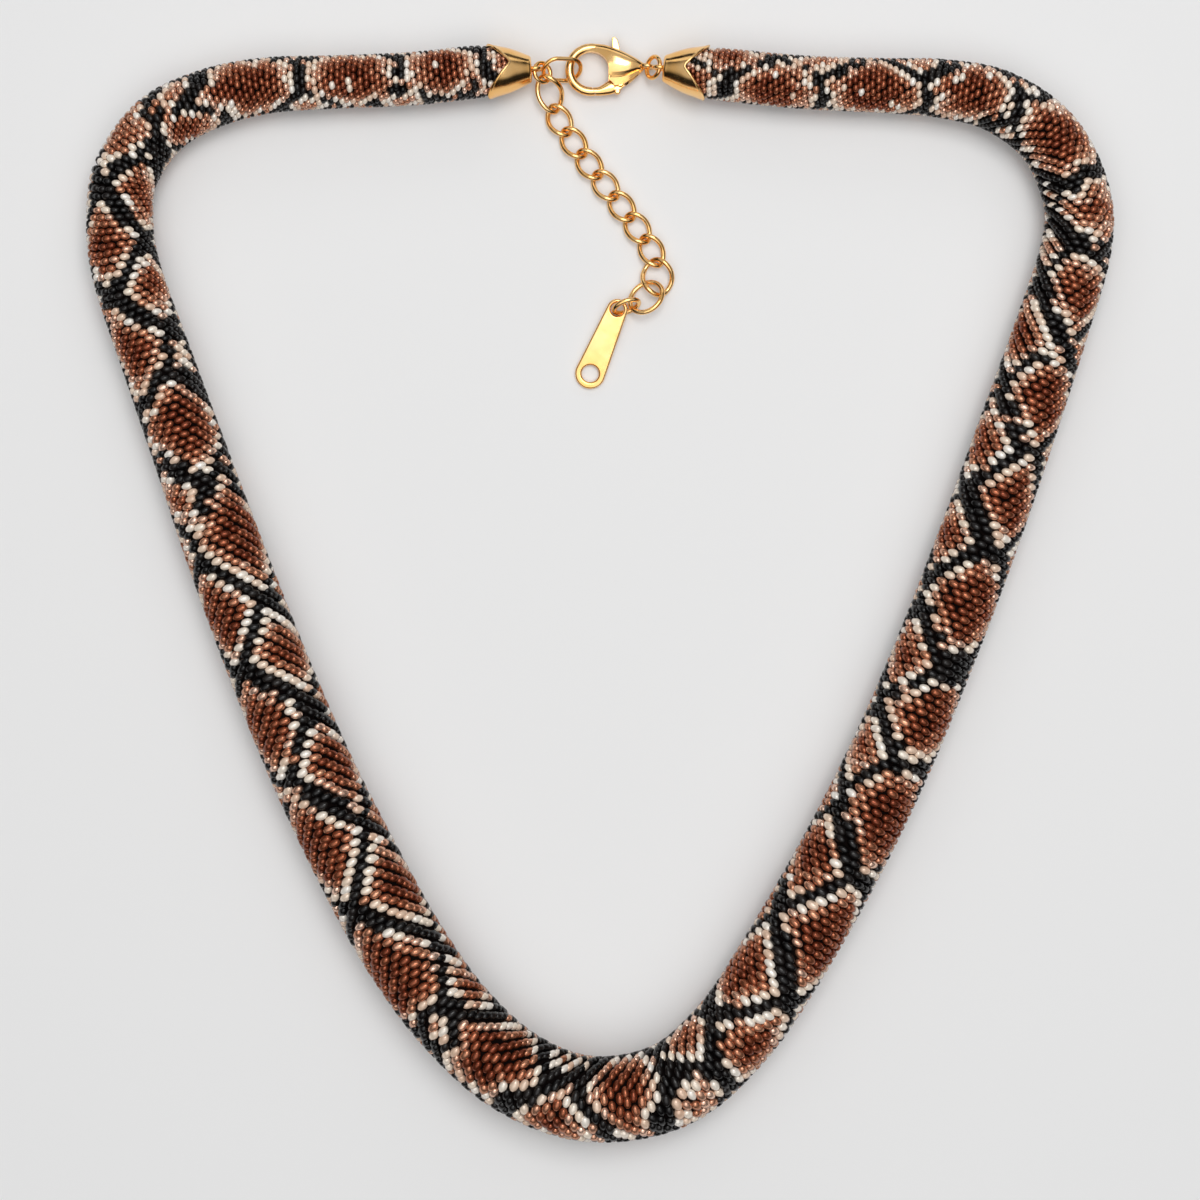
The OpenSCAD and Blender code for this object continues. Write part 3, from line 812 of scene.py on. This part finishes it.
side_lean = math.acos((tag_wide_r - tag_narrow_r) / tag_gap)
outside = (ring_of((0, 0), tag_wide_r, 40, side_lean, 2 * math.pi - side_lean)
           + ring_of((tag_gap, 0), tag_narrow_r, 28, -side_lean, side_lean))
tag = sheet_piece("tag_polished", [outside, ring_of((0, 0), tag_hole_r, 48),
                                   ring_of((tag_gap, 0), tag_eye_r, 40)], tag_thickness, tag_edge)
tag.data.transform(Matrix.Translation(Vector(tag_middle) * mm)
                   @ Matrix.Rotation(math.radians(tag_heading), 4, "Z")
                   @ Matrix.Rotation(math.radians(-tag_rise), 4, "Y")
                   @ Matrix.Translation((0, 0, tag_thickness / 2 * mm)))
fitting(tag, "tag", cast_gold)


# The lobster clasp's body: one brass casting of a round hook and a hollow drop-shaped grip,
# polished and plated. Its face is domed, falls in a hollow to a crease, and turns over the
# crease to a bright side. The lever's slot runs through it, and a loop is soldered on.
hook_r, hook_wire_r, hook_arc = 3.3, 0.68, (48, 284)
gate_joint, gate_gap, gate_lean = (0.4, -3.3), 0.08, 25
joint_half, tool_reach = 1.5, 8
slot_height, pivot = 1.44, (4.4, -2.2)
crease_from, crease_rise, crease_end, crease_fade = 1.6, 1.4, 8.0, 1.0
# The grip's rows: place along it, lower edge, upper edge, half height
CLASP_ROWS = [
    (-1.2, -3.2, 3.5, 0.5), (-0.4, -3.3, 3.86, 0.72), (0.8, -3.35, 3.92, 1.0),
    (2.0, -3.3, 3.8, 1.24), (3.0, -3.25, 3.56, 1.4), (4.0, -3.1, 3.22, 1.49),
    (5.0, -2.68, 2.77, 1.47), (6.0, -1.95, 2.22, 1.34), (7.0, -1.02, 1.6, 1.06),
    (7.7, -0.32, 1.13, 0.74), (8.05, 0.12, 0.88, 0.42)]
SLOT_OUTLINE = [
    (0.6, -4.6), (0.6, -0.3), (3.05, -0.9), (3.4, -0.75), (2.75, 5.2),
    (7.4, 5.2), (6.35, 1.2), (5.65, -1.3), (5.7, -4.6)]
MOUTH_OUTLINE = [(-4, -5), (3.3, -5), (3.5, -2.45), (3.05, -1.9), (2.6, -1.55), (2.6, -0.35),
                 (0, -0.3), (-4, -0.3)]
# The face from its upper edge to its lower edge: share across, share of the full height
FACE_PLAIN = [(0, 0), (0.012, 0.3), (0.05, 0.6), (0.13, 0.83), (0.28, 0.96), (0.42, 1.0),
              (0.55, 0.99), (0.66, 0.95), (0.74, 0.9), (0.82, 0.82), (0.9, 0.66), (0.95, 0.48),
              (0.985, 0.25), (1, 0)]
FACE_CREASED = [(0, 0), (0.012, 0.3), (0.05, 0.6), (0.13, 0.83), (0.25, 0.97), (0.39, 1.0),
                (0.53, 0.91), (0.6, 0.8), (0.655, 0.61), (0.72, 0.78), (0.9, 0.66), (0.925, 0.44),
                (0.985, 0.38), (1, 0)]


def clasp_grip():
    """The grip's skin, laid over its rows."""
    rows = smooth_route(CLASP_ROWS, 6)
    count = 2 * len(FACE_PLAIN) - 2
    plain, crease = np.array(FACE_PLAIN), np.array(FACE_CREASED)
    under = plain[1:-1][::-1]
    points = []
    for x, low, high, half in rows:
        creased = (min(1.0, max(0.0, (x - crease_from) / crease_rise))
                   * min(1.0, max(0.0, (crease_end - x) / crease_fade)))
        face = plain * (1 - creased) + crease * creased
        for across, height in face:
            points.append((x, high + (low - high) * across, half * height))
        for across, height in under:
            points.append((x, high + (low - high) * across, -half * height))
    faces = [tuple(range(count)), tuple((len(rows) - 1) * count + i for i in range(count))]
    faces += skin_walls(len(rows), count)
    grip = shape_from("clasp_body_polished", np.array(points) + np.array(clasp_middle), faces)
    close_up(grip)
    return grip


def clasp_block(name, outline, low, high):
    """An upright block, placed from the middle of the hook."""
    return prism(name, [(clasp_middle.x + x, clasp_middle.y + y) for x, y in outline],
                 clasp_middle.z + low, clasp_middle.z + high)


def joint_block(name, near, far):
    """A block on one side of the slanted joint: the gate's side is plus, the hook's minus."""
    lean = math.radians(gate_lean)
    corners = [(near, -joint_half), (far, -joint_half), (far, joint_half), (near, joint_half)]
    return clasp_block(name, [(gate_joint[0] + x * math.cos(lean) - y * math.sin(lean),
                               gate_joint[1] + x * math.sin(lean) + y * math.cos(lean))
                              for x, y in corners], -joint_half, joint_half)


grip = clasp_grip()
hole = clasp_block("hole_tool", ring_of((0, 0), hook_r - hook_wire_r, 96), -5, 5)
cut_or_add(grip, hole, "DIFFERENCE")
mouth_tool = clasp_block("mouth_tool", MOUTH_OUTLINE, -5, 5)
cut_or_add(grip, mouth_tool, "DIFFERENCE")
arc = [clasp_middle + Vector((hook_r * math.cos(a), hook_r * math.sin(a), 0))
       for a in np.radians(np.linspace(*hook_arc, 84))]
hook = round_wire("hook_tool", arc, hook_wire_r, closed=False)
cut_or_add(hook, joint_block("joint_tool", -gate_gap / 2, tool_reach), "DIFFERENCE")
slot = clasp_block("slot_tool", SLOT_OUTLINE, -slot_height / 2, slot_height / 2)
cut_or_add(slot, joint_block("joint_tool", gate_gap / 2 - tool_reach, gate_gap / 2), "DIFFERENCE")
cut_or_add(grip, slot, "DIFFERENCE")
soften_edges(grip, 0.1, 62)
join_to(grip, hook)
tail_turn = Matrix.Rotation(math.radians(-8), 3, "Z")
tail_points = [tail_loop + tail_turn @ Vector((soldered_loop_r * math.cos(a), 0,
                                               soldered_loop_r * math.sin(a)))
               for a in np.linspace(0, 2 * math.pi, 40, endpoint=False)]
join_to(grip, round_wire("loop", tail_points, soldered_wire_r))
fitting(grip, "clasp_body", cast_gold)


# The clasp's pin: a plain brass rod that the lever turns on, pressed up into the grip from
# below. Nothing shows of it from above, so its solid is used as it is, in gold.
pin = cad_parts["clasp_pin"]
pin.data.materials.clear()
pin.data.materials.append(wire_gold)


# The clasp's lever: a brass casting on the pin. Its round bar closes the hook, its flat
# middle turns in the slot, and a knob at the heel and a tab at the top are for the nail.
lever_thickness, bar_sides = 1.2, 40
# The bar's rows: place along it, middle, half width, half height
BAR_ROWS = [
    (-0.6, -3.3, 0.62, 0.62), (0.9, -3.28, 0.64, 0.62), (1.7, -3.08, 0.82, 0.65),
    (2.4, -2.8, 1.02, 0.68), (3.0, -2.65, 1.08, 0.68), (3.6, -2.55, 0.95, 0.62),
    (4.0, -2.5, 0.6, 0.45)]
LEVER_OUTLINE = [
    (3.0, -3.2), (2.9, -2.4), (3.6, -1.4), (3.15, 3.4), (3.1, 4.75),
    (3.5, 4.95), (3.95, 4.5), (4.25, 3.4), (5.1, -1.6), (5.1, -2.3), (4.8, -2.7), (4.4, -3.1)]
heel, heel_r = (3.95, -3.3), 0.46
pin_hole_r, plate_edge = 0.44, 0.12


def gate_bar():
    """The bar's skin, laid over its rows."""
    rows = smooth_route(BAR_ROWS, 4)
    turns = np.arange(bar_sides) / bar_sides * 2 * math.pi
    points = [clasp_middle + Vector((x, middle + wide * math.cos(a), tall * math.sin(a)))
              for x, middle, wide, tall in rows for a in turns]
    faces = [tuple(range(bar_sides)),
             tuple((len(rows) - 1) * bar_sides + i for i in range(bar_sides))]
    faces += skin_walls(len(rows), bar_sides)
    bar = shape_from("lever_polished", points, faces)
    close_up(bar)
    return bar


lever = gate_bar()
cut_or_add(lever, joint_block("joint_tool", -tool_reach, gate_gap / 2), "DIFFERENCE")
plate = sheet_piece("lever_plate", [LEVER_OUTLINE, ring_of(pivot, pin_hole_r, 32)],
                    lever_thickness, plate_edge)
plate.data.transform(Matrix.Translation(clasp_middle * mm))
cut_or_add(lever, plate, "UNION")
knob = clasp_block("knob_tool", ring_of(heel, heel_r, 32),
                   -lever_thickness / 2, lever_thickness / 2)
soften_edges(knob, 0.2, 50, 4)
cut_or_add(lever, knob, "UNION")
fitting(lever, "clasp_lever", cast_gold, "lever")


# The table, the studio lights and the camera. A pale table, three soft boxes, a tent that
# is dark low down and pale overhead, with a pale wall that only the camera sees, and a
# camera that looks straight down.
deselect_all()
bpy.ops.mesh.primitive_plane_add(size=4, location=(0, 0, 0))
table = bpy.context.object
table.name = "table"
table_finish, table_shader = plain_material("pale_table", (0.9, 0.9, 0.9), 0.0, 0.7)
table.data.materials.append(table_finish)


def soft_box(name, place, target, size, level):
    """A soft box sized in millimetres, turned to a target, as bright as a level of white."""
    light = bpy.data.lights.new(name, "AREA")
    light.shape = "RECTANGLE"
    light.size, light.size_y = size[0] * mm, size[1] * mm
    light.energy = level * math.pi * light.size * light.size_y
    holder = bpy.data.objects.new(name, light)
    bpy.context.collection.objects.link(holder)
    holder.location = Vector(place) * mm
    holder.rotation_euler = (Vector(target) - Vector(place)).to_track_quat("-Z", "Y").to_euler()


soft_box("key_north", (95, 250, 800), (0, 0, 0), (400, 400), 4.4)
soft_box("soft_box_overhead", (0, -270, 950), (0, -100, 0), (920, 920), 0.92)
soft_box("strip_behind_nape", (0, 640, 300), (0, 0, 0), (950, 200), 0.9)

# The tent from the table up: share of the way overhead, level
TENT_LEVELS = [(0.0, 0.015), (0.5, 0.02), (0.68, 0.55), (1.0, 0.55)]
wall_level = 0.6
world = bpy.data.worlds.new("white_tent")
bpy.context.scene.world = world
world.use_nodes = True
tent = world.node_tree
looking = tent.nodes.new("ShaderNodeTexCoord")
rise = tent.nodes.new("ShaderNodeSeparateXYZ")
tent.links.new(looking.outputs["Generated"], rise.inputs["Vector"])
levels = tent.nodes.new("ShaderNodeValToRGB")
while len(levels.color_ramp.elements) < len(TENT_LEVELS):
    levels.color_ramp.elements.new(0.5)
for element, (height, level) in zip(levels.color_ramp.elements, TENT_LEVELS):
    element.position = height
    element.color = (level, level, level, 1)
tent.links.new(rise.outputs["Z"], levels.inputs["Fac"])
seen = tent.nodes.new("ShaderNodeLightPath")
wall = tent.nodes.new("ShaderNodeMix")
wall.data_type = "RGBA"
wall.inputs["B"].default_value = (wall_level, wall_level, wall_level, 1)
tent.links.new(seen.outputs["Is Camera Ray"], wall.inputs["Factor"])
tent.links.new(levels.outputs["Color"], wall.inputs["A"])
tent.links.new(wall.outputs["Result"], tent.nodes["Background"].inputs["Color"])
tent.nodes["Background"].inputs["Strength"].default_value = 1.0

camera_height, picture_width, sensor_width = 420, 180, 36
reference_z = 5.3
picture_middle = (0.075, -1.875)
lens = bpy.data.cameras.new("camera")
camera = bpy.data.objects.new("camera", lens)
bpy.context.collection.objects.link(camera)
camera.location = Vector((picture_middle[0], picture_middle[1], camera_height + reference_z)) * mm
lens.sensor_width = sensor_width
lens.lens = sensor_width * camera_height / picture_width
bpy.context.scene.camera = camera
bpy.context.scene.view_settings.view_transform = "Standard"
